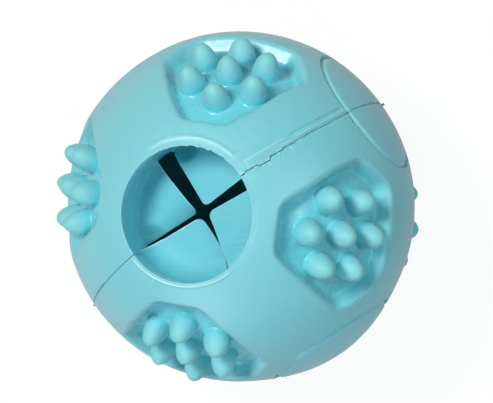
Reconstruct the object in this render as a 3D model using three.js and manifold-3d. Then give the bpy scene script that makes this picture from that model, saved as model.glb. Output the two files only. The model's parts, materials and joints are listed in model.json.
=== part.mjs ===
// Dental treat ball: a hollow rubber ball made of two half shells bonded at a seam. Eight pockets hold
// tooth-cleaning nubs, and a valve of four petals closes the mouth that leads to the treat cavity.
// Millimetres, +Z up out of the mouth, origin at the centre of the ball, seam in the plane y = 0.

import * as THREE from 'three';
import { mergeVertices } from 'three/addons/utils/BufferGeometryUtils.js';
import Module from 'manifold-3d';

const wasm = await Module();
wasm.setup();

// Ball
const ballRadius = 37.5;
const wallThickness = 10.3;

// Mouth: a round neck through the wall, with a rounded lip standing on the ball around it
const mouthRadius = 13.9;
const lipWidth = 2.4;
const lipRise = 0.4;

// Ring lines: shallow grooves round the five closed faces of the ball
const ringRadius = 14.3;
const ringGroove = 0.5;

// Pockets: triangles with cut-off corners, centred between three faces of the ball
const pocketToRing = 15.3; // pocket axis to each short side, measured at the pocket's corners
const pocketToSeam = 12; // pocket axis to each long side
const pocketDepth = 3.5;
const pocketWallAngle = THREE.MathUtils.degToRad(40); // lean of the walls from the pocket axis
const pocketCorner = 2;

// Nubs: one at the middle of each pocket and six around it
const nubRadius = 2.85;
const nubHeight = 5.1;
const nubSpacing = 8.2; // from the middle nub to the others, on the face of the ball
const nubRoot = 0.8; // sunk in the pocket floor

// Valve: petals parted by four slits, each slit with its width at the middle and at the neck wall
const valveDepth = 10.5; // from the edge of the mouth down to the petals
const petalThickness = 2;
const petalTipRound = 1.4;
const rightSlit = { inner: 1.4, outer: 2.8 };
const rearSlit = { inner: 1.9, outer: 3.8 };
const leftSlit = { inner: 1.2, outer: 0.6 };
const frontSlit = { inner: 1.5, outer: 0.6 };
const hingeClearance = 0.3;

// Seam: the bond between the half shells, squeezed out as a thin flash
const seamThickness = 0.3;
const seamFlash = 0.3;

// Facets: segments round each form, and steps along its rounded sections
const ballSegments = 48;
const floorSegments = 28;
const cavitySegments = 24;
const roundSegments = 40;
const ringSegments = 32;
const ringSides = 4;
const lipSteps = 8;
const cornerSteps = 2;
const nubSegments = 8;
const nubRings = 3;
const tipSteps = 4;
const hingeSegments = 16;

// Sizes that follow from those above
const overlap = 1; // how far a cutting body runs past the face that it opens
const reachOfBall = ballRadius + seamFlash + nubHeight;
const cavityRadius = ballRadius - wallThickness;
const floorRadius = ballRadius - pocketDepth;
const rimHeight = Math.sqrt(ballRadius ** 2 - mouthRadius ** 2);
const valveTop = rimHeight - valveDepth;
const valveBottom = valveTop - petalThickness;
const hingeRadius = petalThickness / 2;
const hingeHeight = valveTop - hingeRadius;
const neckClear = mouthRadius - hingeClearance;
const hingeDistance = (Math.sqrt(2 * neckClear ** 2 - hingeRadius ** 2) - hingeRadius) / 2;
const ledgeDistance = hingeDistance + hingeRadius + hingeClearance;

function solid(geometry) {
  const bare = geometry.clone();
  bare.deleteAttribute('normal');
  bare.deleteAttribute('uv');
  const merged = mergeVertices(bare, 1e-4);
  return new wasm.Manifold(new wasm.Mesh({
    numProp: 3,
    vertProperties: new Float32Array(merged.attributes.position.array),
    triVerts: new Uint32Array(merged.index.array),
  }));
}

function geometryOf(body) {
  const mesh = body.getMesh();
  const geometry = new THREE.BufferGeometry();
  geometry.setAttribute('position', new THREE.BufferAttribute(mesh.vertProperties, 3));
  geometry.setIndex(new THREE.BufferAttribute(mesh.triVerts, 1));
  geometry.computeVertexNormals();
  return geometry;
}

function joined(bodies) {
  return bodies.reduce((whole, body) => whole.add(body));
}

// Round bodies turned so that their axis is Z
function sphere(radius, segments) {
  return solid(new THREE.SphereGeometry(radius, segments, segments / 2).rotateX(Math.PI / 2));
}

function disc(radius, low, high) {
  const height = high - low;
  const geometry = new THREE.CylinderGeometry(radius, radius, height, roundSegments);
  return solid(geometry.rotateX(Math.PI / 2).translate(0, 0, low + height / 2));
}

function block(low, high) {
  const size = new THREE.Vector3().subVectors(high, low);
  const middle = new THREE.Vector3().addVectors(low, high).divideScalar(2);
  return solid(new THREE.BoxGeometry(size.x, size.y, size.z).translate(middle.x, middle.y, middle.z));
}

// The slab of space between two heights, wider than the ball
function slab(low, high) {
  return block(
    new THREE.Vector3(-reachOfBall, -reachOfBall, low),
    new THREE.Vector3(reachOfBall, reachOfBall, high),
  );
}

// The slice of space between two distances from the seam, wider than the ball
function slice(low, high) {
  return block(
    new THREE.Vector3(-reachOfBall, low, -reachOfBall),
    new THREE.Vector3(reachOfBall, high, reachOfBall),
  );
}

// Frames of the eight pockets: Z out along the pocket axis, X towards the nearer of mouth and base
function pocketFrames() {
  const signs = [1, -1];
  const frames = [];
  for (const x of signs) {
    for (const y of signs) {
      for (const z of signs) {
        const axis = new THREE.Vector3(x, y, z).normalize();
        const towardsPole = new THREE.Vector3(0, 0, z).projectOnPlane(axis).normalize();
        const across = new THREE.Vector3().crossVectors(axis, towardsPole);
        frames.push(new THREE.Matrix4().makeBasis(towardsPole, across, axis));
      }
    }
  }
  return frames;
}

// Where two sides 60 degrees apart meet, each given by its distance from the pocket axis
function sideCrossing(angle, reach, nextReach) {
  const turn = Math.PI / 3;
  const along = (nextReach - reach * Math.cos(turn)) / Math.sin(turn);
  return new THREE.Vector2(reach, along).rotateAround(new THREE.Vector2(), angle);
}

function pocketOutline(inset) {
  const outline = new THREE.Shape();
  const turn = Math.PI / 3;
  const reaches = [pocketToRing, pocketToSeam].map((reach) => reach - inset - pocketCorner);
  for (let side = 0; side < 6; side += 1) {
    const angle = side * turn;
    const centre = sideCrossing(angle, reaches[side % 2], reaches[(side + 1) % 2]);
    outline.absarc(centre.x, centre.y, pocketCorner, angle, angle + turn, false);
  }
  outline.closePath();
  return outline;
}

// One pocket's hollow: a drafted cut that stops at a floor level with the face of the ball
function pocketGeometry() {
  const cornerReach = sideCrossing(0, pocketToRing, pocketToSeam).length();
  const cornerHeight = Math.sqrt(ballRadius ** 2 - cornerReach ** 2);
  const cutBottom = Math.sqrt(floorRadius ** 2 - cornerReach ** 2);
  const draft = Math.tan(pocketWallAngle);
  const wallHeight = ballRadius - cutBottom;
  return new THREE.ExtrudeGeometry(pocketOutline((cornerHeight - cutBottom) * draft), {
    depth: overlap,
    bevelThickness: wallHeight,
    bevelSize: wallHeight * draft,
    bevelSegments: 1,
    curveSegments: cornerSteps,
  }).translate(0, 0, ballRadius);
}

// A nub is half of a long egg, turned about its own axis
function nubGeometry() {
  const egg = new THREE.EllipseCurve(0, 0, nubRadius, nubHeight, 0, Math.PI / 2);
  const profile = [new THREE.Vector2(0, -nubRoot), new THREE.Vector2(nubRadius, -nubRoot)];
  const dome = egg.getPoints(nubRings);
  dome[dome.length - 1].x = 0;
  return new THREE.LatheGeometry(profile.concat(dome), nubSegments)
    .rotateX(Math.PI / 2)
    .translate(0, 0, floorRadius);
}

// Turns that carry a nub from the pocket axis to each of its seven places
function nubTurns() {
  const tilt = Math.asin(nubSpacing / ballRadius);
  const turns = [new THREE.Matrix4()];
  for (let place = 0; place < 6; place += 1) {
    const swing = new THREE.Matrix4().makeRotationZ((place * Math.PI) / 3);
    turns.push(swing.multiply(new THREE.Matrix4().makeRotationY(tilt)));
  }
  return turns;
}

// The lip's section is a flat oval that lies on the slope of the ball
function lip() {
  const middle = mouthRadius + lipWidth / 2;
  const slope = Math.asin(middle / ballRadius);
  const section = new THREE.EllipseCurve(
    middle,
    ballRadius * Math.cos(slope),
    lipWidth / 2,
    lipRise,
    0,
    2 * Math.PI,
    false,
    -slope,
  );
  const profile = section.getPoints(lipSteps);
  profile[profile.length - 1].copy(profile[0]);
  return solid(new THREE.LatheGeometry(profile, roundSegments).rotateX(Math.PI / 2));
}

// A ring line cuts each face of the ball except the one with the mouth
function ringGrooves() {
  const height = Math.sqrt(ballRadius ** 2 - ringRadius ** 2);
  const ring = new THREE.TorusGeometry(ringRadius, ringGroove, ringSides, ringSegments)
    .translate(0, 0, height);
  const quarter = Math.PI / 2;
  return joined([
    solid(ring.clone().rotateY(quarter)),
    solid(ring.clone().rotateY(-quarter)),
    solid(ring.clone().rotateX(quarter)),
    solid(ring.clone().rotateX(-quarter)),
    solid(ring.clone().rotateX(2 * quarter)),
  ]);
}

// The treat cavity, flat under the valve
function cavity() {
  return sphere(cavityRadius, cavitySegments).subtract(slab(valveBottom, reachOfBall));
}

// The neck, less the four ledges that carry the petals
function neck() {
  const bore = disc(mouthRadius, valveBottom - overlap, reachOfBall);
  const opening = new THREE.BoxGeometry(2 * ledgeDistance, 2 * ledgeDistance, petalThickness + 2 * overlap)
    .rotateZ(Math.PI / 4)
    .translate(0, 0, hingeHeight);
  return bore.subtract(slab(valveBottom, valveTop).subtract(solid(opening)));
}

function wholeBall() {
  const frames = pocketFrames();
  const pocket = pocketGeometry();
  const nub = nubGeometry();
  const pockets = frames.map((frame) => solid(pocket.clone().applyMatrix4(frame)));
  const nubs = frames.flatMap((frame) => nubTurns().map((turn) => {
    const place = new THREE.Matrix4().multiplyMatrices(frame, turn);
    return solid(nub.clone().applyMatrix4(place));
  }));
  const hollows = joined(pockets).subtract(sphere(floorRadius, floorSegments));
  return sphere(ballRadius, ballSegments)
    .subtract(hollows)
    .add(joined(nubs))
    .add(lip())
    .subtract(ringGrooves())
    .subtract(cavity())
    .subtract(neck());
}

// The bond fills the seam and stands a little proud all round the ball
function seamBond() {
  const film = new THREE.CylinderGeometry(
    ballRadius + seamFlash,
    ballRadius + seamFlash,
    seamThickness,
    ballSegments,
  );
  return solid(film).subtract(cavity()).subtract(neck());
}

// How far a slit's edge leans from its middle line for each millimetre along it
function edgeSlope(slit) {
  return (slit.outer - slit.inner) / (2 * mouthRadius);
}

// Half the width of a slit at a distance from the middle of the valve
function halfWidth(slit, distance) {
  return slit.inner / 2 + edgeSlope(slit) * distance;
}

// The point that lies the hinge's radius from one corner of a petal, towards another point of it
function cutCorner(corner, towards) {
  return corner.clone().lerp(towards, hingeRadius / corner.distanceTo(towards));
}

// A petal lies between two slits, its first along X and its second along Y, and hinges on the chord
// that joins their outer ends. Its root corners are cut off, so that petals swing past one another.
function petal(firstSlit, secondSlit) {
  const reach = hingeDistance * Math.SQRT2;
  const firstSlope = edgeSlope(firstSlit);
  const secondSlope = edgeSlope(secondSlit);
  const firstX = (reach - firstSlit.inner / 2) / (1 + firstSlope);
  const secondY = (reach - secondSlit.inner / 2) / (1 + secondSlope);
  const tipX = halfWidth(secondSlit, firstSlit.inner / 2) / (1 - firstSlope * secondSlope);
  const tipY = halfWidth(firstSlit, tipX);
  const roundX = tipX + petalTipRound;
  const roundY = tipY + petalTipRound;
  const firstEnd = new THREE.Vector2(firstX, halfWidth(firstSlit, firstX));
  const secondEnd = new THREE.Vector2(halfWidth(secondSlit, secondY), secondY);
  const firstRound = new THREE.Vector2(roundX, halfWidth(firstSlit, roundX));
  const secondRound = new THREE.Vector2(halfWidth(secondSlit, roundY), roundY);

  const outline = new THREE.Shape();
  outline.setFromPoints([
    cutCorner(firstEnd, firstRound),
    cutCorner(firstEnd, secondEnd),
    cutCorner(secondEnd, firstEnd),
    cutCorner(secondEnd, secondRound),
    secondRound,
  ]);
  outline.quadraticCurveTo(tipX, tipY, firstRound.x, firstRound.y);
  outline.closePath();
  const plate = new THREE.ExtrudeGeometry(outline, {
    depth: petalThickness,
    bevelEnabled: false,
    curveSegments: tipSteps,
  }).translate(0, 0, valveBottom);

  const middle = new THREE.Vector2().addVectors(firstEnd, secondEnd).divideScalar(2);
  const rootLength = firstEnd.distanceTo(secondEnd) - 2 * hingeRadius;
  const root = new THREE.CylinderGeometry(hingeRadius, hingeRadius, rootLength, hingeSegments)
    .rotateZ(Math.PI / 4)
    .translate(middle.x, middle.y, hingeHeight);
  return solid(plate).add(solid(root));
}

function rubber(colour) {
  return new THREE.MeshStandardMaterial({ color: colour, roughness: 0.5, metalness: 0 });
}

function named(name, geometry, colour) {
  const mesh = new THREE.Mesh(geometry, rubber(colour));
  mesh.name = name;
  return mesh;
}

const shellColour = 0x6fc6cf;
const bondColour = 0x66bcc6;
const petalColour = 0x68c4d0;
const ball = wholeBall();
const part = new THREE.Group();

const halfSeam = seamThickness / 2;
part.add(named('half_shell_rear', geometryOf(ball.intersect(slice(halfSeam, reachOfBall))), shellColour));
part.add(named('half_shell_front', geometryOf(ball.intersect(slice(-reachOfBall, -halfSeam))), shellColour));
part.add(named('seam_bond', geometryOf(seamBond()), bondColour));

// The petals stand a quarter turn apart, in the order of the slits round the mouth
const slits = [rightSlit, rearSlit, leftSlit, frontSlit];
const petalNames = ['petal_rear_right', 'petal_rear_left', 'petal_front_left', 'petal_front_right'];
petalNames.forEach((name, place) => {
  const flap = named(name, geometryOf(petal(slits[place], slits[(place + 1) % 4])), petalColour);
  flap.rotation.z = (place * Math.PI) / 2;
  part.add(flap);
});

export default part;
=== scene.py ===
import json
import math

import bmesh
import bpy
import numpy as np
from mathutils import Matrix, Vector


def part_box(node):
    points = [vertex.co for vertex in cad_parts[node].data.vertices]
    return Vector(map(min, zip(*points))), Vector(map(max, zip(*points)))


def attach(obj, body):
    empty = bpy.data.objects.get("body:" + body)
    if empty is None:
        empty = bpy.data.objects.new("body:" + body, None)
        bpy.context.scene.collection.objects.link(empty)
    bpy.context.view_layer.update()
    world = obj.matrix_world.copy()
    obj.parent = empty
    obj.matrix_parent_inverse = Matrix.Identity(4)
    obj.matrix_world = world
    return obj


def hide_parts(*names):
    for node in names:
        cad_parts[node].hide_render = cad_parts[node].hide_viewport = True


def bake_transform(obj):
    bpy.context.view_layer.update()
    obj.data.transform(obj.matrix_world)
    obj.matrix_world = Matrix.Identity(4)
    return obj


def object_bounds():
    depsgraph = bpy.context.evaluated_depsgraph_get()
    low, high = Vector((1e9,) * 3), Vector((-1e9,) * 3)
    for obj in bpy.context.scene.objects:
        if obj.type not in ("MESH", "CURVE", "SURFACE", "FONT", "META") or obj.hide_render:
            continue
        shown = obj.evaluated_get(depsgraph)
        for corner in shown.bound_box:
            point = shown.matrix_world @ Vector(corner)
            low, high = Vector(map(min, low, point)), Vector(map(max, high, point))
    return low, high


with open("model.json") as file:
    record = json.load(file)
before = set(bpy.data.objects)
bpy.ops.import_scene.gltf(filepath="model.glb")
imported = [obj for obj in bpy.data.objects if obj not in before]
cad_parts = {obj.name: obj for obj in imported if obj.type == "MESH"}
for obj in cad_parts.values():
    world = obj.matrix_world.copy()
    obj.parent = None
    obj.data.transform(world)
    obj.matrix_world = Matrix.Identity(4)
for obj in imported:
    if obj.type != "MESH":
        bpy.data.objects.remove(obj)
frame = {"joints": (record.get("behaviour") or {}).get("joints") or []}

import openvdb
from mathutils import Matrix, Vector

cadLow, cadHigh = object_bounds()
metres = 0.001  # forms are laid out in millimetres and scaled once, when they become meshes

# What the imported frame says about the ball
ballRadius = -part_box("half_shell_front")[0].y / metres
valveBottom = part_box("petal_front_left")[0].z / metres
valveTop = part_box("petal_front_left")[1].z / metres
hinges = {joint["child"]: joint["pos_m"] for joint in frame["joints"]}
hingeDistance = math.hypot(*hinges["rear_right_petal"][:2]) / metres
print("ball radius", round(ballRadius, 2), "mm, valve at", round(valveTop, 2), "mm")


# Shared tools: distance fields, which are negative inside a form, and the meshes made from them

tiny = 1e-6  # keeps divisions safe
meshing = dict(
    slopeStep=0.03,  # how far to each side a field is read for its slope
    slides=2, leastSlope=0.2,  # moves onto the exact surface, and the least squared slope to divide by
    slab=24, outside=5.0,  # grid layers worked out at a time, and the value where no form is near
)


def roundedCut(a, b, radius):  # what lies inside both, with the edge between them rounded
    inner = np.minimum(np.maximum(a, b), -radius)
    return inner + np.hypot(np.maximum(a + radius, 0), np.maximum(b + radius, 0))


def filletJoin(a, b, radius):  # both together, with a fillet in the corner between them
    return -roundedCut(-a, -b, radius)


def smoothStep(value, low, high):
    t = np.clip((value - low) / (high - low), 0, 1)
    return t * t * (3 - 2 * t)


def within(value, start, full, fading, end):  # 1 from full to fading, 0 outside start and end
    return smoothStep(value, start, full) * (1 - smoothStep(value, fading, end))


def bump(value, width):  # a rounded hump, 1 at 0 and nothing beyond the width
    return np.maximum(1 - (value / width) ** 2, 0) ** 2


def waves(value, lengths, phase):  # an uneven line between -1 and 1: the mean of a few sines
    total = 0.0
    for n, length in enumerate(lengths):
        total = total + np.sin(2 * math.pi * value / length + phase * (n + 1))
    return total / len(lengths)


def turnApart(a, b):  # the angle from b to a, between -pi and pi
    return np.mod(a - b + math.pi, 2 * math.pi) - math.pi


def fromCentre(x, y, z):
    return np.sqrt(x * x + y * y + z * z)


def fieldSlope(field, points):
    slope = np.empty_like(points)
    step = meshing["slopeStep"]
    for axis in range(3):
        offset = np.zeros(3)
        offset[axis] = step
        ahead = field(*(points + offset).T)
        behind = field(*(points - offset).T)
        slope[:, axis] = (ahead - behind) / (2 * step)
    return slope


def slideOnto(field, points, most):  # moves points onto the exact surface, by no more than this at a time
    for _ in range(meshing["slides"]):
        slope = fieldSlope(field, points)
        away = field(*points.T) / np.maximum((slope ** 2).sum(1), meshing["leastSlope"])
        points = points - slope * np.clip(away, -most, most)[:, None]
    return points


def splitFaces(mesh, chosen):  # halves the edges between chosen points, for fine detail
    form = bmesh.new()
    form.from_mesh(mesh)
    edges = [edge for edge in form.edges if all(chosen[vert.index] for vert in edge.verts)]
    bmesh.ops.subdivide_edges(form, edges=edges, cuts=1, use_grid_fill=True)
    form.to_mesh(mesh)
    form.free()
    points = np.empty(3 * len(mesh.vertices), np.float32)
    mesh.vertices.foreach_get("co", points)
    return points.reshape(-1, 3).astype(float)


def fieldGrid(field, low, high, voxel):
    counts = [int(math.ceil((b - a) / voxel)) + 1 for a, b in zip(low, high)]
    xs, ys, zs = [(a + voxel * np.arange(n)).astype(np.float32) for a, n in zip(low, counts)]
    values = np.empty(counts, np.float32)
    for start in range(0, counts[0], meshing["slab"]):
        part = slice(start, start + meshing["slab"])
        values[part] = field(xs[part, None, None], ys[None, :, None], zs[None, None, :])
    grid = openvdb.FloatGrid()
    grid.background = meshing["outside"]
    grid.copyFromArray(values)
    return grid


def addObject(name, data):
    added = bpy.data.objects.new(name, data)
    bpy.context.scene.collection.objects.link(added)
    return added


def meshField(name, field, low, high, sizes, fine):  # fine: functions that say where faces are split
    voxel = sizes["voxel"]
    grid = fieldGrid(field, low, high, voxel)
    points, triangles, quads = grid.convertToPolygons(isovalue=0.0, adaptivity=sizes["adaptivity"])
    points = slideOnto(field, points.astype(float) * voxel + np.array(low), voxel / 2)

    mesh = bpy.data.meshes.new(name)
    mesh.from_pydata(points.tolist(), [], triangles.tolist() + quads.tolist())
    for level, isFine in enumerate(fine):
        points = splitFaces(mesh, isFine(*points.T))
        points = slideOnto(field, points, voxel / 2 ** (level + 2))
    normals = fieldSlope(field, points)
    normals /= np.maximum(np.linalg.norm(normals, axis=1), tiny)[:, None]
    mesh.vertices.foreach_set("co", (points * metres).ravel())
    mesh.update()
    mesh.polygons.foreach_set("use_smooth", np.ones(len(mesh.polygons), bool))
    mesh.normals_split_custom_set_from_vertices(normals.tolist())
    print(name, len(points), "points", len(mesh.polygons), "faces")
    return addObject(name, mesh), points


def setAttribute(piece, name, values):
    attribute = piece.data.attributes.new(name, "FLOAT", "POINT")
    attribute.data.foreach_set("value", np.asarray(values, np.float32))


# Half shells: one moulding on each side of the seam, with pockets, nubs, ring lines and the mouth

shell = dict(
    mouthRadius=13.9, neckRadius=14.5, rimRound=0.25, cavityRadius=27.2,
    neckFrom=3.5, neckTo=4.0,  # it widens from this far below the ball's top to this far above the valve
    lipRadius=15.2, lipOff=(0.31, 0.39), lipRise=0.2, lipWidth=0.42,  # a low ridge, off centre
    lipGone=(132, 42.5, 57.5),  # worn away here: degrees round the mouth, and how far off that fades and ends
    lipFaint=(-36, 45.6, 62.7), lipFaintShare=0.15,  # faint here, with this share of its height
    lipFar=math.radians(54), lipFarSpan=math.radians(75), lipWider=0.3,  # wider at the far side
    rimBead=0.14, rimBeadWidth=0.4,
    tear=0.15, tearAt=math.radians(54), tearSpan=1.0, tearDepth=(4.0, 2.5), tearWaves=((2.3, 1.1), 0.6),
    ringRadius=14.3, ringDepth=0.75, ringDepthFront=1.3, ringOutside=0.4, ringInside=1.0,
    pocketToRing=15.3, pocketToSeam=12.0, pocketDepth=3.5, pocketLean=math.radians(40),
    pocketCorner=1.0, pocketRim=0.8, pocketFoot=0.8,
    nubRadius=2.85, nubHeight=5.4, nubSpacing=8.2, nubFoot=0.35,
    askewPocket=(-1, 1, 1), askewTurn=(-0.033, -0.037, 0.004),  # one pocket is askew: radians
    askewFade=(0.8, 0.89),  # cosines of the angles from its axis between which the turn fades in
    crease=0.13, creaseWidth=0.45, creaseSpan=(0.42, 0.46, 0.68, 0.76),  # radians from the mouth axis
    creaseBreaks=((7.0, 3.1), 1.7), creaseStray=0.15, creaseWaves=((5.0, 2.2), 0.5),
    wobble=0.2, wobbleLength=19.0,
    wobbles=((1.3, 0.7, 0.0), (0.4, 0.8, 2.0), (2.6, 0.9, 0.7)),  # by axis: phase, stretch, second phase
    swollen={(0, -1, 0): 0.8, (1, 0, 0): -0.12, (0, 1, 0): -0.2},  # out of round: side of the ball, and rise
    swollenReach=20.0,
    voxel=0.3, adaptivity=0.035, room=2.0,
)
floorRadius = ballRadius - shell["pocketDepth"]
seam = dict(  # places along the ball are distances from the mouth axis, positive towards +X
    gap=(  # place along the ball, and how far the halves stand apart at its face
        (-70, 0.1), (13, 0.1), (14.5, 0.4), (16.5, 0.26), (26, 0.26),
        (33, 0.12), (44, 0.1), (46, 0.04), (64, 0.04), (67, 0.1),
    ),
    gapMean=0.8, gapSway=0.4, gapWaves=((5.1, 2.7), 0.4),
    openFrom=1.2, openFull=0.5,  # depths in the wall between which the halves part
    torn=(  # it tore in steps beside the mouth: place along the ball, and how far the line lies off the plane
        (9.0, 0.0), (14.0, -0.5), (15.4, -0.55), (15.7, -0.3), (18.5, -0.55), (18.8, -0.95),
        (21.3, -1.05), (21.6, -0.5), (24.8, -0.65), (25.1, -0.4), (27.9, -0.6), (28.2, -0.4),
        (31.0, -0.45), (37.0, -0.55), (43.0, -0.4), (46.5, 0.0),
    ),
    tornFront=2.1, tornRear=0.9,  # room for the torn line in the two grids
    stray=0.05, strayWaves=((11.0, 4.7, 2.3), 0.9), edgeRound=0.05,
    trimmed=(15.0, 16.0, 23.2, 29.0),  # flash was cut off here: start, full, fading and end
    beaded=(23.0, 27.0, 42.5, 44.5),  # and here it was left as a bead above a dip
    stripFrom=(16.0, 17.5), stripEdge=((15.0, 1.65), (29.0, 1.1)), stripFoot=(-0.05, 0.1), stripFade=0.2,
    stripRise=0.12, edgeRise=0.14, edgeWidth=0.32,
    burr=0.2, burrOff=0.3, burrWidth=0.32, burrsByBead=0.4, burrWaves=((1.4, 0.8, 2.9), 2.2),
    bead=0.3, beadOff=0.75, beadWidth=0.55, dip=0.3, dipOff=1.5, dipWidth=0.6,
)


def unevenSpace(x, y, z):  # mouldings come out slightly untrue, so space is bent before forms are laid out
    turn = 2 * math.pi / shell["wobbleLength"]
    bent = []
    for along, across, beyond, wobble in zip((x, y, z), (y, z, x), (z, x, y), shell["wobbles"]):
        phase, stretch, secondPhase = wobble
        sway = np.sin(turn * across + phase) * np.cos(turn * beyond * stretch + secondPhase)
        bent.append(along + shell["wobble"] * sway)
    return bent


def askewSpace(x, y, z):  # turns the space round the pocket that was cut askew
    a, b, c = shell["askewPocket"]
    towards = (a * x + b * y + c * z) / np.sqrt(3 * (x * x + y * y + z * z) + tiny)
    share = smoothStep(towards, *shell["askewFade"])
    a, b, c = shell["askewTurn"]
    return x - share * (b * z - c * y), y - share * (c * x - a * z), z - share * (a * y - b * x)


def pocketFrame(x, y, z):  # one pocket stands for all eight: the axes are folded together and sorted
    x, y, z = askewSpace(*unevenSpace(x, y, z))
    ax, ay, az = np.abs(x), np.abs(y), np.abs(z)
    big = np.maximum(np.maximum(ax, ay), az)
    small = np.minimum(np.minimum(ax, ay), az)
    middle = ax + ay + az - big - small
    u = (2 * big - middle - small) / math.sqrt(6)
    v = (middle - small) / math.sqrt(2)
    w = (big + middle + small) / math.sqrt(3)
    fromRing = np.hypot(middle, small) - shell["ringRadius"]
    fromRing = np.where(z > np.maximum(ax, ay), ballRadius, fromRing)  # no ring line round the mouth
    return u, v, w, fromRing


def pocketHollow(u, v, w, r):  # walls lean out from the pocket axis, and the floor follows the ball
    side = math.sqrt(3) / 2
    cornerAlong = (shell["pocketToSeam"] - shell["pocketToRing"] / 2) / side
    cornerReach = math.hypot(shell["pocketToRing"], cornerAlong)
    cornerHeight = math.sqrt(ballRadius ** 2 - cornerReach ** 2)
    lean = shell["pocketLean"]
    spread = (w - cornerHeight) * math.tan(lean)
    ringSide = (u - shell["pocketToRing"] - spread) * math.cos(lean)
    seamSide = (u / 2 + v * side - shell["pocketToSeam"] - spread) * math.cos(lean)
    walls = roundedCut(ringSide, seamSide, shell["pocketCorner"])
    return roundedCut(walls, floorRadius - r, shell["pocketFoot"])


def nubs(u, v, w):  # half eggs on radial axes: one in the middle of the pocket, and six around it
    tilt = math.asin(shell["nubSpacing"] / ballRadius)
    places = [(0, 0, 1)]
    for turn in (0, math.pi / 3):
        places.append((math.sin(tilt) * math.cos(turn), math.sin(tilt) * math.sin(turn), math.cos(tilt)))
    reachSquared = u * u + v * v + w * w
    nearest = np.inf
    for a, b, c in places:
        along = u * a + v * b + w * c
        across = np.sqrt(np.maximum(reachSquared - along * along, 0))
        wide = across / shell["nubRadius"]
        tall = (along - floorRadius) / shell["nubHeight"]
        size = np.sqrt(wide ** 2 + tall ** 2)
        steep = np.sqrt((wide / shell["nubRadius"]) ** 2 + (tall / shell["nubHeight"]) ** 2) + tiny
        nearest = np.minimum(nearest, size * (size - 1) / steep)
    return nearest


def ringGroove(fromRing):  # share of its depth: steep on the outside, shallow on the inside
    wide = np.where(fromRing > 0, shell["ringOutside"], shell["ringInside"])
    return np.maximum(1 - np.abs(fromRing) / wide, 0)


def seamAngle(x, z):  # from the mouth axis, positive towards +X
    return np.arctan2(x, z)


def seamLine(angle):  # how far the line between the halves strays from its plane
    arc = ballRadius * angle
    return np.interp(arc, *zip(*seam["torn"])) + seam["stray"] * waves(arc, *seam["strayWaves"])


def seamGap(angle):
    arc = ballRadius * angle
    uneven = seam["gapMean"] + seam["gapSway"] * waves(arc, *seam["gapWaves"])
    return np.interp(arc, *zip(*seam["gap"])) * uneven


def seamForms(x, y, z):  # shares of each form beside the seam: strip, its edge, burrs, bead and dip
    angle = seamAngle(x, z)
    arc = ballRadius * angle
    away = y - seamLine(angle)
    trimmed = within(arc, *seam["trimmed"])
    beaded = within(arc, *seam["beaded"])
    edge = np.interp(arc, *zip(*seam["stripEdge"]))
    stripped = trimmed * smoothStep(arc, *seam["stripFrom"])
    strip = stripped * smoothStep(away, *seam["stripFoot"])
    strip = strip * (1 - smoothStep(y, edge - seam["stripFade"], edge))
    edgeLine = stripped * bump(y - edge, seam["edgeWidth"])
    burrs = (trimmed + beaded * seam["burrsByBead"]) * np.maximum(waves(arc, *seam["burrWaves"]), 0)
    burrs = burrs * sum(bump(away - side * seam["burrOff"], seam["burrWidth"]) for side in (-1, 1))
    bead = beaded * bump(away - seam["beadOff"], seam["beadWidth"])
    dip = beaded * bump(away - seam["dipOff"], seam["dipWidth"])
    return strip, edgeLine, burrs, bead, dip


def seamRelief(x, y, z):  # how high the rubber stands beside the seam
    strip, edgeLine, burrs, bead, dip = seamForms(x, y, z)
    low = seam["stripRise"] * strip + seam["edgeRise"] * edgeLine + seam["burr"] * burrs
    return low + seam["bead"] * bead - seam["dip"] * dip


def creaseRelief(x, y, z):  # a faint broken line across the front half, where the mould had a mark
    angle = np.arctan2(-y, z)
    arc = ballRadius * angle
    broken = np.maximum(waves(arc, *shell["creaseBreaks"]), 0)
    line = bump(x - shell["creaseStray"] * waves(arc, *shell["creaseWaves"]), shell["creaseWidth"])
    return -shell["crease"] * within(angle, *shell["creaseSpan"]) * broken * line


def swelling(x, y, z):  # the ball came out of its mould a little out of round
    r = np.maximum(fromCentre(x, y, z), tiny)
    rise = 0.0
    for (a, b, c), height in shell["swollen"].items():
        towards = np.clip((a * x + b * y + c * z) / r, -1, 1)
        rise = rise + height * bump(ballRadius * np.arccos(towards), shell["swollenReach"])
    return rise


def pastSpan(turn, span):  # 0 near the middle of a span of degrees, and 1 beyond its end
    middle, fading, end = np.radians(span)
    return smoothStep(np.abs(turnApart(turn, middle)), fading, end)


def mouthEdge(x, y, z):  # how near a point is to the ridge round the mouth, and to the mouth's edge
    fromLip = np.hypot(x - shell["lipOff"][0], y - shell["lipOff"][1]) - shell["lipRadius"]
    fromRim = np.hypot(x, y) - shell["mouthRadius"]
    turn = np.arctan2(y, x)
    strong = pastSpan(turn, shell["lipFaint"])
    faint = shell["lipFaintShare"]
    shown = pastSpan(turn, shell["lipGone"]) * (faint + (1 - faint) * strong) * (z > 0)
    far = bump(turnApart(turn, shell["lipFar"]), shell["lipFarSpan"])
    width = shell["lipWidth"] + shell["lipWider"] * far
    return bump(fromLip, width) * shown, bump(fromRim, shell["rimBeadWidth"]) * shown


def neckWall(z):
    down = smoothStep(-z, shell["neckFrom"] - ballRadius, -valveTop - shell["neckTo"])
    return shell["mouthRadius"] + (shell["neckRadius"] - shell["mouthRadius"]) * down


def rimTear(x, y, z):  # the rim is torn a little at its far side
    turn = np.arctan2(y, x)
    lowest, full = shell["tearDepth"]
    there = bump(turn - shell["tearAt"], shell["tearSpan"])
    there = there * smoothStep(z, ballRadius - lowest, ballRadius - full)
    return shell["tear"] * there * waves(turn * shell["mouthRadius"], *shell["tearWaves"])


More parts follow.
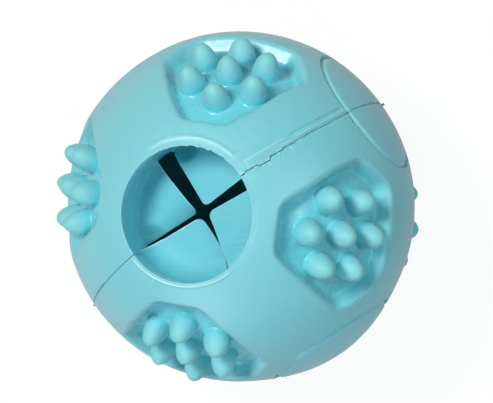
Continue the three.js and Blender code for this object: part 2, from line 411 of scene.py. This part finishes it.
def ballField(x, y, z):
    r = fromCentre(x, y, z)
    u, v, w, fromRing = pocketFrame(x, y, z)
    lip, bead = mouthEdge(x, y, z)
    ringDepth = np.where(y < -ballRadius / 2, shell["ringDepthFront"], shell["ringDepth"])
    relief = shell["lipRise"] * lip + shell["rimBead"] * bead - ringDepth * ringGroove(fromRing)
    relief = relief + seamRelief(x, y, z) + creaseRelief(x, y, z) + swelling(x, y, z)
    solid = roundedCut(r - ballRadius - relief, -pocketHollow(u, v, w, r), shell["pocketRim"])
    solid = filletJoin(solid, nubs(u, v, w), shell["nubFoot"])
    neck = np.maximum(np.hypot(x, y) - neckWall(z) - rimTear(x, y, z), valveBottom - z)
    solid = roundedCut(solid, -neck, shell["rimRound"])
    cavity = np.maximum(r - shell["cavityRadius"], z - valveBottom)
    return np.maximum(solid, -cavity)


def halfGap(x, y, z):  # the halves touch inside the wall, and part at the face of the ball
    parted = smoothStep(fromCentre(x, y, z), ballRadius - seam["openFrom"], ballRadius - seam["openFull"])
    return seamGap(seamAngle(x, z)) / 2 * parted


def rearField(x, y, z):
    away = y - seamLine(seamAngle(x, z))
    return roundedCut(ballField(x, y, z), halfGap(x, y, z) - away, seam["edgeRound"])


def frontField(x, y, z):
    away = y - seamLine(seamAngle(x, z))
    return roundedCut(ballField(x, y, z), halfGap(x, y, z) + away, seam["edgeRound"])


detail = dict(  # where the meshes of the shells are finer
    depth=1.0, seamMiddle=0.3, seamAside=2.0, seamSpan=(14.0, 46.5),
    lipAside=1.8, lipDepth=4.5, ringAside=0.3,
)


def nearFace(x, y, z):
    return fromCentre(x, y, z) > ballRadius - detail["depth"]


def nearTear(x, y, z):
    arc = ballRadius * seamAngle(x, z)
    start, end = detail["seamSpan"]
    bySeam = (np.abs(y - detail["seamMiddle"]) < detail["seamAside"]) & (arc > start) & (arc < end)
    byLip = np.abs(np.hypot(x, y) - shell["lipRadius"]) < detail["lipAside"]
    return (bySeam & nearFace(x, y, z)) | (byLip & (z > ballRadius - detail["lipDepth"]))


def nearDetail(x, y, z):
    away = pocketFrame(x, y, z)[3]
    outside = shell["ringOutside"] + detail["ringAside"]
    inside = shell["ringInside"] + detail["ringAside"]
    return nearTear(x, y, z) | ((away < outside) & (away > -inside) & nearFace(x, y, z))


finish = dict(  # where the finish changes: depths below the face, and heights as shares of a nub's height
    # The face takes a paler colour, while recesses and ring grooves keep the base colour as painted shade.
    pocketFade=0.6, paintedShadeDepth=3.0, faceDepth=0.3, ringPaintedShade=0.9,  # painted shade in recesses and grooves
    faceFrom=0.7, faceFull=0.3, nubFade=(0.15, 0.7), nubFrom=(0.1, 0.35), polishedTo=(0.15, 0.35),
    tipFrom=(0.5, 1.0), tipShare=0.3,
    # Pale ridges, edges and burrs are partly wear and partly painted highlight; the ring band is painted
    # highlight.
    lipWearHighlight=0.4, rimWearHighlight=0.8, edgeWearHighlight=0.7, beadWearHighlight=0.4, ringHighlight=0.5, ringHighlightOff=0.5, ringHighlightWidth=0.5,
    tornSpot=(14.3, -0.3), tornReach=0.9,  # pale where the seam meets the mouth: partly torn rubber, partly painted highlight
)


def finishShell(piece, points):
    x, y, z = points.T
    r = fromCentre(x, y, z)
    u, v, w, fromRing = pocketFrame(x, y, z)
    strip, edgeLine, burrs, bead, _ = seamForms(x, y, z)
    lip, rim = mouthEdge(x, y, z)
    onFace = smoothStep(r, ballRadius - finish["faceFrom"], ballRadius - finish["faceFull"])
    outOfPaintedShade = smoothStep(r, ballRadius - finish["paintedShadeDepth"], ballRadius - finish["faceDepth"])
    inPocket = smoothStep(-pocketHollow(u, v, w, r), -finish["pocketFade"], finish["pocketFade"])
    onNub = 1 - smoothStep(nubs(u, v, w), *finish["nubFade"])
    height = (r - floorRadius) / shell["nubHeight"]
    spotX, spotY = finish["tornSpot"]
    lowDown = 1 - smoothStep(height, *finish["polishedTo"])
    # pale marks: partly wear, partly painted highlight on ridges and edges that catch the light
    wearHighlight = np.max([
        finish["lipWearHighlight"] * lip,
        finish["rimWearHighlight"] * rim,
        finish["edgeWearHighlight"] * edgeLine,
        finish["beadWearHighlight"] * bead,
        finish["ringHighlight"] * bump(fromRing + finish["ringHighlightOff"], finish["ringHighlightWidth"]),
        bump(np.hypot(x - spotX, y - spotY), finish["tornReach"]) * (z > 0),
        burrs,
    ], axis=0)
    setAttribute(piece, "pocket", inPocket)
    # recesses and ring grooves keep the base colour as painted shade, and the face takes the paler colour
    setAttribute(piece, "outOfPaintedShade", outOfPaintedShade * (1 - finish["ringPaintedShade"] * ringGroove(fromRing)))
    setAttribute(piece, "nub", onNub * smoothStep(height, *finish["nubFrom"]))
    setAttribute(piece, "polished", np.maximum(inPocket, onNub) * lowDown)
    setAttribute(piece, "tip", finish["tipShare"] * onNub * smoothStep(height, *finish["tipFrom"]))
    setAttribute(piece, "trim", strip * onFace)
    setAttribute(piece, "wearHighlight", wearHighlight * onFace)


reach = ballRadius + shell["room"]
halves = {
    "half_shell_rear": (rearField, (-reach, -seam["tornFront"], -reach), (reach, reach, reach)),
    "half_shell_front": (frontField, (-reach, -reach, -reach), (reach, seam["tornRear"], reach)),
}
shellPieces = []
for node, (field, low, high) in halves.items():
    piece, points = meshField(node + "_rubber", field, low, high, shell, (nearDetail, nearTear))
    finishShell(piece, points)
    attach(piece, "shell")
    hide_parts(node)
    shellPieces.append(piece)
print("half shells done")


# Seam bond: the thin film of rubber between the halves, with its flash

flash = dict(
    sunk=0.25, steps=900, endGap=0.5,  # the film ends below the face of the ball, and beside the neck
    nibs=((102.3, 0.45, 0.8), (-69.4, 0.35, 0.4)),  # left standing: degrees, height and half width
    nibThick=0.4,
)


def wallStart(s, c):  # how far out the wall begins, for the sine and cosine of an angle from the mouth axis
    if c <= 0:
        return shell["cavityRadius"]
    if abs(valveBottom * s / c) < shell["neckRadius"]:
        return shell["neckRadius"] / abs(s)
    return min(shell["cavityRadius"], valveBottom / c)


def seamBand():
    verts = []
    faces = []
    start = math.asin((shell["neckRadius"] + flash["endGap"]) / ballRadius)
    for n, angle in enumerate(np.linspace(start, 2 * math.pi - start, flash["steps"])):
        s, c = math.sin(angle), math.cos(angle)
        signedAngle = math.atan2(s, c)
        inner = wallStart(s, c)
        outer = ballRadius - flash["sunk"]
        middle = float(seamLine(signedAngle))
        half = seamGap(signedAngle) / 2
        for place, height, halfWidth in flash["nibs"]:
            nib = bump(ballRadius * (signedAngle - math.radians(place)), halfWidth)
            outer += (height + flash["sunk"]) * nib
            half += flash["nibThick"] / 2 * nib
        for radius, y in ((inner, -half), (outer, -half), (outer, half), (inner, half)):
            verts.append((radius * s * metres, (middle + y) * metres, radius * c * metres))
        if n:
            a, b = 4 * (n - 1), 4 * n
            for k in range(4):
                m = (k + 1) % 4
                faces.append((a + k, b + k, b + m, a + m))
    last = 4 * (flash["steps"] - 1)
    faces.append((0, 1, 2, 3))
    faces.append((last + 3, last + 2, last + 1, last))
    mesh = bpy.data.meshes.new("seam_flash")
    mesh.from_pydata(verts, [], faces)
    return addObject("seam_flash", mesh)


seamPiece = seamBand()
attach(seamPiece, "shell")
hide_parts("seam_bond")
print("seam done")


# Valve petals: four sectors of one skin across the neck, parted by two crossing slits

valve = dict(
    slits=dict(  # cut by hand: degrees, width at the middle and at the wall, and bow of the line by the wall
        right=(-3.5, 0.9, 2.9, 0.0),
        rear=(90.0, 1.6, 3.4, 0.0),
        left=(174.7, 1.0, 0.7, 0.0),
        front=(266.0, 1.7, -1.2, -1.8),
    ),
    closedGap=0.04, tipRound=1.4, edgeRound=0.25, undercut=0.6,  # petals thin out towards their edges
    sagFull=5.0, sagEnd=0.5, dipReach=3.5,  # petals sag freely this far from the wall, and not near it
    sunkInWall=0.3, wallSkin=0.03, filletRoom=0.2,
    bendBefore=0.8, bendAfter=1.6,  # the rubber bends from this far outside the hinge to this far inside
    edgeWearHighlight=(0.1, 0.35), wearHighlightFrom=2.5, wearHighlightFull=1.5,  # painted highlight and rubbing on the slit edges
    fineAside=0.7, fineDepth=2.0, voxel=0.2, adaptivity=0.01,
    span=1.0, roomAside=4, roomBelow=2, roomAbove=7,
)
# Slits are in order from above, anticlockwise. A sag has its depth at the slit and how closely it keeps to
# it, a dip lies along the second slit, the two edges are made pale, partly rubbing and partly painted
# highlight, and a dent has its place, depth and reach.
petals = [
    dict(
        name="petal_rear_right", body="rear_right_petal", slits=("right", "rear"),
        sags=((0.15, 1.5), (0.7, 3.0)), fillet=0.8, dip=0.0, slitEdgeHighlights=(0.35, 0.3), dent=(4.6, 13.8, 3.2, 4.2),
    ),
    dict(
        name="petal_rear_left", body="rear_left_petal", slits=("rear", "left"),
        sags=((-0.8, 1.5), (0.9, 1.5)), fillet=0.7, dip=1.0, slitEdgeHighlights=(0.4, 0.15), dent=(-13.4, 1.6, 2.2, 4.5),
    ),
    dict(
        name="petal_front_left", body="front_left_petal", slits=("left", "front"),
        sags=((-0.15, 2.0), (0.8, 5.0)), fillet=5.0, dip=0.3, slitEdgeHighlights=(1.0, 0.3), dent=None,
    ),
    dict(
        name="petal_front_right", body="front_right_petal", slits=("front", "right"),
        sags=((-0.15, 3.0), (0.2, 1.5)), fillet=3.0, dip=0.0, slitEdgeHighlights=(0.3, 0.35), dent=None,
    ),
]


def pastSlit(slit, x, y):  # how far a point lies to the left of a slit, and to the right of it
    degrees, inner, outer, bow = valve["slits"][slit]
    c, s = math.cos(math.radians(degrees)), math.sin(math.radians(degrees))
    part = (c * x + s * y) / shell["mouthRadius"]
    aside = c * y - s * x - bow * np.maximum(part, 0) ** 2
    half = np.maximum(inner + (outer - inner) * part, valve["closedGap"]) / 2
    return aside - half, -aside - half


def toSlits(petal, x, y):  # how far inside the petal a point lies from each of its two slits
    first, second = petal["slits"]
    return pastSlit(first, x, y)[0], pastSlit(second, x, y)[1]


def petalField(turn, petal):
    c, s = math.cos(turn), math.sin(turn)
    (firstSag, firstPower), (secondSag, secondPower) = petal["sags"]
    fillet = petal["fillet"]
    neck = shell["neckRadius"]

    def field(x, y, z):
        rho = np.hypot(x, y)
        along, across = c * x + s * y, c * y - s * x  # the first slit runs along, the second across
        toFirst, toSecond = toSlits(petal, x, y)
        share = np.clip(np.arctan2(across, along) / (math.pi / 2), 0, 1)
        sag = firstSag * (1 - share) ** firstPower + secondSag * share ** secondPower
        sag = sag + petal["dip"] * np.maximum(1 - np.maximum(toSecond, 0) / valve["dipReach"], 0) ** 2
        z = z + sag * (1 - smoothStep(rho, neck - valve["sagFull"], neck - valve["sagEnd"]))
        if petal["dent"]:
            dentX, dentY, depth, reach = petal["dent"]
            z = z + depth * bump(np.hypot(x - dentX, y - dentY), reach)
        thinned = valve["undercut"] * np.clip(valveTop - z, 0, None)
        sector = roundedCut(thinned - toFirst, thinned - toSecond, valve["tipRound"])
        plate = filletJoin(z - valveTop, neck - valve["wallSkin"] - rho, fillet)
        plate = np.maximum(np.maximum(plate, valveBottom - z), z - valveTop - fillet - valve["filletRoom"])
        plate = np.maximum(plate, rho - neck - valve["sunkInWall"])
        return roundedCut(plate, sector, valve["edgeRound"])

    return field


def bySlit(petal):
    def near(x, y, z):
        return (np.minimum(*toSlits(petal, x, y)) < valve["fineAside"]) & (z > valveTop - valve["fineDepth"])

    return near


def petalGrid(turn):  # the lowest and highest corner of a box round one quarter of the valve
    span = shell["neckRadius"] + valve["span"]
    aside = valve["roomAside"]
    corners = [Matrix.Rotation(turn, 2) @ Vector(p) for p in ((0, 0), (span, 0), (span, span), (0, span))]
    xs, ys = zip(*corners)
    low = (min(xs) - aside, min(ys) - aside, valveBottom - valve["roomBelow"])
    high = (max(xs) + aside, max(ys) + aside, valveTop + valve["roomAbove"])
    return low, high


# Pale cut edges beside the slits: partly rubbing, partly painted highlight where the edges catch the light.
def highlightPetalEdges(piece, points, petal):
    x, y, z = points.T
    edges = [
        slitEdgeHighlights * (1 - smoothStep(away, *valve["edgeWearHighlight"]))
        for slitEdgeHighlights, away in zip(petal["slitEdgeHighlights"], toSlits(petal, x, y))
    ]
    onTop = smoothStep(z, valveTop - valve["wearHighlightFrom"], valveTop - valve["wearHighlightFull"])
    setAttribute(piece, "wearHighlight", np.maximum(*edges) * onTop)


petalPieces = []
for place, petal in enumerate(petals):
    turn = place * math.pi / 2
    low, high = petalGrid(turn)
    field = petalField(turn, petal)
    piece, points = meshField(petal["name"] + "_rubber", field, low, high, valve, (bySlit(petal),))
    highlightPetalEdges(piece, points, petal)
    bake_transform(piece)
    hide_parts(petal["name"])
    petalPieces.append(piece)
print("petals done")


# Materials

def linear(hexColour):
    values = [int(hexColour[n:n + 2], 16) / 255 for n in (0, 2, 4)]
    return [v / 12.92 if v <= 0.04045 else ((v + 0.055) / 1.055) ** 2.4 for v in values] + [1.0]


def addNode(tree, kind, settings=None, links=None):  # a number as a key is a socket's place
    node = tree.nodes.new(kind)
    for key, value in (settings or {}).items():
        if isinstance(key, int) or key in node.inputs.keys():
            node.inputs[key].default_value = value
        else:
            setattr(node, key, value)
    for key, source in (links or {}).items():
        tree.links.new(source, node.inputs[key])
    return node


def emptyMaterial(name):
    material = bpy.data.materials.new(name)
    material.use_nodes = True
    material.node_tree.nodes.clear()
    return material, material.node_tree


def perMetre(millimetres):  # texture scale that gives a pattern of this size
    return 1 / (millimetres * metres)


def blended(tree, share, first, second):
    mix = addNode(tree, "ShaderNodeMix", {"data_type": "RGBA"})
    for socket, value in ((mix.inputs["Factor"], share), (mix.inputs[6], first), (mix.inputs[7], second)):
        if isinstance(value, bpy.types.NodeSocket):
            tree.links.new(value, socket)
        else:
            socket.default_value = value
    return mix.outputs[2]


# What all the rubber has in common. Sizes are in millimetres, and ranges are those of the noise.
rubberBase = dict(
    ior=1.52, filmRoughness=0.7, sheenRoughness=0.45, sheenColour="f0dcd4",
    cloudDetail=3.0, cloudRange=(0.35, 0.65),
    mottleSize=1.6, mottleDetail=4.0, bloomRange=(0.4, 0.75), unevenRange=(0.38, 0.62), uneven=0.06,
    grainSize=0.25, grainDetail=2.0, grainDepth=0.06, streakSize=0.6, streakDetail=2.0,
    # Pinholes are darkened with the pit colour: painted shade inside them.
    pitColour="2f6f80", pitShade=0.5, pitStrength=0.6, pitDepth=0.1,
    # These show by the attributes of the meshes. A mesh that lacks an attribute reads 0 for it.
    # The base colour stays in recesses and ring grooves as painted shade; the face colour on the next line is
    # paler.
    faceColour="7cccd8", tipColour="7ed2c9", trimColour="86c2ca", trimShare=0.4,
    # The pale colour of ridges and edges is partly wear and partly painted highlight.
    wearHighlightColour="c4f2f4", wearHighlightShare=0.6,
    pocketRoughness=0.32, nubRoughness=0.6, polishedRoughness=0.15,
    rippleSize=0.45, rippleDetail=1.0, rippleDepth=0.02,
)


def rubber(own):
    look = dict(rubberBase, **own)
    material, tree = emptyMaterial(look["name"])
    place = addNode(tree, "ShaderNodeTexCoord").outputs["Object"]
    stretched = addNode(tree, "ShaderNodeMapping", {
        "vector_type": "TEXTURE", "Scale": look["streakStretch"], "Rotation": look["streakTurn"],
    }, {"Vector": place}).outputs["Vector"]
    cloud, mottle, grain, ripple, streak = [
        addNode(tree, "ShaderNodeTexNoise", {
            "Scale": perMetre(look[name + "Size"]), "Detail": look[name + "Detail"],
        }, {"Vector": where}).outputs["Fac"]
        for name, where in (
            ("cloud", place), ("mottle", place), ("grain", place), ("ripple", place), ("streak", stretched),
        )
    ]
    cells = addNode(tree, "ShaderNodeTexVoronoi", {
        "Scale": perMetre(look["pitSpacing"]), "Randomness": 1.0,
    }, {"Vector": place})
    pit = addNode(tree, "ShaderNodeMapRange", {
        "From Min": 0.0, "From Max": look["pitShare"], "To Min": 1.0, "To Max": 0.0,
    }, {"Value": cells.outputs["Distance"]}).outputs["Result"]
    pocket, trim, nub, outOfPaintedShade, tip, wearHighlight, polished = [
        addNode(tree, "ShaderNodeAttribute", {"attribute_name": name}).outputs["Fac"]
        for name in ("pocket", "trim", "nub", "outOfPaintedShade", "tip", "wearHighlight", "polished")
    ]

    clouded, bloomed, uneven = [
        addNode(tree, "ShaderNodeMapRange", {
            "From Min": source[0], "From Max": source[1], "To Min": low, "To Max": high,
        }, {"Value": value}).outputs["Result"]
        for value, source, low, high in (
            (cloud, look["cloudRange"], 0.0, 1.0),
            (mottle, look["bloomRange"], 0.0, look["bloom"]),
            (mottle, look["unevenRange"], -look["uneven"], look["uneven"]),
        )
    ]
    # the pale share on ridges and edges is partly wear and partly painted highlight
    trimmed, wearHighlighted, pitted = [
        addNode(tree, "ShaderNodeMath", {"operation": "MULTIPLY", 1: look[name]}, {0: share}).outputs["Value"]
        for share, name in ((trim, "trimShare"), (wearHighlight, "wearHighlightShare"), (pit, "pitShade"))
    ]
    colour = blended(tree, clouded, linear(look["colour"]), linear(look["secondColour"]))
    # recesses and ring grooves keep the base colour, as painted shade
    for share, name in (
        (outOfPaintedShade, "faceColour"), (tip, "tipColour"), (bloomed, "bloomColour"),
        (trimmed, "trimColour"), (wearHighlighted, "wearHighlightColour"), (pitted, "pitColour"),
    ):
        colour = blended(tree, share, colour, linear(look[name]))

    rough = addNode(tree, "ShaderNodeMapRange", {
        "To Min": look["roughness"], "To Max": look["pocketRoughness"],
    }, {"Value": pocket})
    for share, name in ((nub, "nubRoughness"), (polished, "polishedRoughness")):
        rough = addNode(tree, "ShaderNodeMapRange", {"To Max": look[name]}, {
            "Value": share, "To Min": rough.outputs["Result"],
        })
    roughness = addNode(tree, "ShaderNodeMath", {"operation": "ADD"}, {0: rough.outputs["Result"], 1: uneven})

    fine = addNode(tree, "ShaderNodeMath", {"operation": "MULTIPLY_ADD", 1: look["streakShare"]}, {
        0: streak, 2: grain,
    })
    grainBump = addNode(tree, "ShaderNodeBump", {
        "Strength": look["grain"], "Distance": look["grainDepth"] * metres,
    }, {"Height": fine.outputs["Value"]})
    rippleBump = addNode(tree, "ShaderNodeBump", {"Distance": look["rippleDepth"] * metres}, {
        "Strength": pocket, "Height": ripple, "Normal": grainBump.outputs["Normal"],
    })
    pitBump = addNode(tree, "ShaderNodeBump", {
        "Strength": look["pitStrength"], "Distance": look["pitDepth"] * metres, "invert": True,
    }, {"Height": pit, "Normal": rippleBump.outputs["Normal"]})
    surface = addNode(tree, "ShaderNodeBsdfPrincipled", {
        "IOR": look["ior"], "Coat Weight": look["film"], "Coat Roughness": look["filmRoughness"],
        "Sheen Weight": look["sheen"], "Sheen Roughness": look["sheenRoughness"],
        "Sheen Tint": linear(look["sheenColour"]),
    }, {"Base Color": colour, "Roughness": roughness.outputs["Value"], "Normal": pitBump.outputs["Normal"]})
    addNode(tree, "ShaderNodeOutputMaterial", links={"Surface": surface.outputs["BSDF"]})
    return material


# Natural rubber pressed in a steel mould: pigment clouds a little, wax blooms to the face as a pale film that
# greys it towards the edges of the ball, and trapped air leaves a few pinholes. The mould is polished in the
# floors of the pockets and round the feet of the nubs, so these shine, while the nubs themselves stay matt.
shellRubber = rubber(dict(
    name="moulded_natural_rubber", colour="68cedc", secondColour="6dcfdb", cloudSize=22.0,
    bloom=0.1, bloomColour="b4d2d6", pitSpacing=7.0, pitShare=0.025, roughness=0.38,
    grain=0.25, streakShare=1.0, streakStretch=(12, 1, 1), streakTurn=(0, 0, 0.95), film=0.55, sheen=0.12,
))
# The valve is pressed on a plain core without a pattern and drawn off it while warm: it is matter than the
# shell, with fine drag marks, and its cut edges are pale, partly rubbed and partly painted highlight.
valveRubber = rubber(dict(
    name="smooth_moulded_rubber", colour="5fc0d0", secondColour="65c3cf", cloudSize=9.0,
    bloom=0.06, bloomColour="b4d2d6", wearHighlightColour="d4f4f4", wearHighlightShare=0.9,
    pitSpacing=6.0, pitShare=0.03, roughness=0.62,
    grain=0.6, streakShare=2.0, streakStretch=(10, 1, 1), streakTurn=(0, 0, -0.64), film=0.3, sheen=0.08,
))
# Flash is squeezed out of the mould's joint and torn off by hand: rough, full of pits and a little greyer.
flashRubber = rubber(dict(
    name="torn_flash_rubber", colour="4fa3b0", secondColour="5aa9b2", cloudSize=4.0,
    bloom=0.1, bloomColour="a9c6ca", pitSpacing=2.0, pitShare=0.1, roughness=0.55,
    grain=0.6, streakShare=0.5, streakStretch=(1, 1, 1), streakTurn=(0, 0, 0), film=0.3, sheen=0.1,
))
for pieces, material in ((shellPieces, shellRubber), (petalPieces, valveRubber), ([seamPiece], flashRubber)):
    for piece in pieces:
        piece.data.materials.append(material)
print("materials done")


# Floor, light and camera

view = dict(
    right=(0.7643, -0.5646, -0.3116), up=(0.5806, 0.8128, -0.0485), back=(0.2806, -0.1438, 0.9490),
    distance=0.525, sensorWidth=36.0, focalPixels=2446.0, imageWidth=493, imageHeight=403,
    ballAt=(239.5, 206.4),  # pixel of the ball's centre
)
viewAxes = Matrix((view["right"], view["up"], view["back"])).transposed()
stage = dict(
    floorSize=4.0, floorColour="ffffff", floorGlow=0.92,  # the paper looks almost evenly white
    floorLit=("eef2f4", "627a84"), floorMirrored=("eef2f4", "a08068"),  # by side, as the ball sees it: darker bounce, and a painted warm reflection
    floorAcross=view["right"], floorTurn=0.6,  # a fixed direction, and metres from one side to the other
    worldColour="c4e2f6", worldLight=0.1, backColour="ffffff", backLight=1.0,
)
# Places are right, up and back from the ball's centre along the camera's axes, in metres. The key is a soft
# box, side reaches the far walls of the pockets, low the underside, front the mouth and limb the lower right
# edge, and glint is a small lamp for the bright spots.
lamps = [
    dict(name="key", place=(-0.485, 0.28, 0.825), size=(0.42, 0.3), tilt=0, power=8.4, colour="fbfaf3"),
    dict(name="side", place=(0.605, 0.18, 0.77), size=(0.14, 0.7), tilt=14, power=2.1, colour="d8f6ff"),
    dict(name="low", place=(-0.3, -0.9, 0.3), size=(0.62, 0.62), tilt=0, power=3.2, colour="f0f6ff"),
    dict(name="front", place=(0.02, -0.32, 0.9), size=(0.15, 0.15), tilt=0, power=0.96, colour="d0faff"),
    dict(name="limb", place=(0.74, -0.6, 0.3), size=(0.3, 0.3), tilt=0, power=0.45, colour="fff8e0"),
    dict(name="glint", place=(0.66, -0.03, 0.75), size=(0.05, 0.05), tilt=0, power=0.54, colour="fff0e0"),
]


def makeFloor():
    mesh = bpy.data.meshes.new("studio_floor")
    half = stage["floorSize"] / 2
    corners = [(x * half, y * half, cadLow.z) for x, y in ((-1, -1), (1, -1), (1, 1), (-1, 1))]
    mesh.from_pydata(corners, [], [(0, 1, 2, 3)])
    material, tree = emptyMaterial("white_paper_painted_reflection")
    ray = addNode(tree, "ShaderNodeLightPath").outputs
    where = addNode(tree, "ShaderNodeNewGeometry").outputs["Position"]
    across = addNode(tree, "ShaderNodeVectorMath", {
        "operation": "DOT_PRODUCT", 1: stage["floorAcross"],
    }, {0: where})
    side = addNode(tree, "ShaderNodeMapRange", {
        "From Min": -stage["floorTurn"] / 2, "From Max": stage["floorTurn"] / 2,
    }, {"Value": across.outputs["Value"]}).outputs["Result"]
    lit, mirrored = [
        blended(tree, side, linear(first), linear(second))
        for first, second in (stage["floorLit"], stage["floorMirrored"])
    ]
    # Bounce light and reflections see a tinted floor that darkens to one side, and reflections see it glow:
    # a painted reflection in the ball. The camera sees white paper.
    shown = blended(tree, ray["Is Glossy Ray"], lit, mirrored)
    shown = blended(tree, ray["Is Camera Ray"], shown, linear(stage["floorColour"]))
    paper = addNode(tree, "ShaderNodeBsdfDiffuse", links={"Color": shown})
    glow = addNode(tree, "ShaderNodeEmission", {"Strength": 1.0}, {"Color": shown})
    seen = addNode(tree, "ShaderNodeMath", {"operation": "MAXIMUM"}, {
        0: ray["Is Camera Ray"], 1: ray["Is Glossy Ray"],
    })
    share = addNode(tree, "ShaderNodeMath", {"operation": "MULTIPLY", 1: stage["floorGlow"]}, {
        0: seen.outputs["Value"],
    })
    mixed = addNode(tree, "ShaderNodeMixShader", links={
        0: share.outputs["Value"], 1: paper.outputs["BSDF"], 2: glow.outputs["Emission"],
    })
    addNode(tree, "ShaderNodeOutputMaterial", links={"Surface": mixed.outputs["Shader"]})
    mesh.materials.append(material)
    addObject("studio_floor", mesh)


def makeWorld():
    world = bpy.data.worlds.new("studio_white")
    world.use_nodes = True
    tree = world.node_tree
    tree.nodes.clear()
    ray = addNode(tree, "ShaderNodeLightPath")
    light, back = [
        addNode(tree, "ShaderNodeBackground", {"Color": linear(stage[colour]), "Strength": stage[strength]})
        for colour, strength in (("worldColour", "worldLight"), ("backColour", "backLight"))
    ]
    mixed = addNode(tree, "ShaderNodeMixShader", links={
        0: ray.outputs["Is Camera Ray"], 1: light.outputs["Background"], 2: back.outputs["Background"],
    })
    addNode(tree, "ShaderNodeOutputWorld", links={"Surface": mixed.outputs["Shader"]})
    bpy.context.scene.world = world


def makeCamera():
    data = bpy.data.cameras.new("camera")
    data.sensor_width = view["sensorWidth"]
    data.lens = view["focalPixels"] * data.sensor_width / view["imageWidth"]
    data.shift_x = (view["imageWidth"] / 2 - view["ballAt"][0]) / view["imageWidth"]
    data.shift_y = (view["ballAt"][1] - view["imageHeight"] / 2) / view["imageWidth"]
    camera = addObject("camera", data)
    place = viewAxes.to_4x4()
    place.translation = Vector(view["back"]) * view["distance"]
    camera.matrix_world = place
    bpy.context.scene.camera = camera


def makeLamps():
    for row in lamps:
        data = bpy.data.lights.new(row["name"], "AREA")
        data.shape = "ELLIPSE"
        data.size, data.size_y = row["size"]
        data.energy = row["power"]
        data.color = linear(row["colour"])[:3]
        lamp = addObject(row["name"], data)
        place = Vector(row["place"])
        tilt = Matrix.Rotation(math.radians(row["tilt"]), 3, "Z")
        facing = place.to_track_quat("Z", "Y").to_matrix() @ tilt
        lamp.matrix_world = (viewAxes @ facing).to_4x4()
        lamp.location = viewAxes @ place
        lamp.visible_camera = False


makeFloor()
makeWorld()
makeCamera()
makeLamps()
bpy.context.scene.view_settings.view_transform = "Standard"
print("stage done")
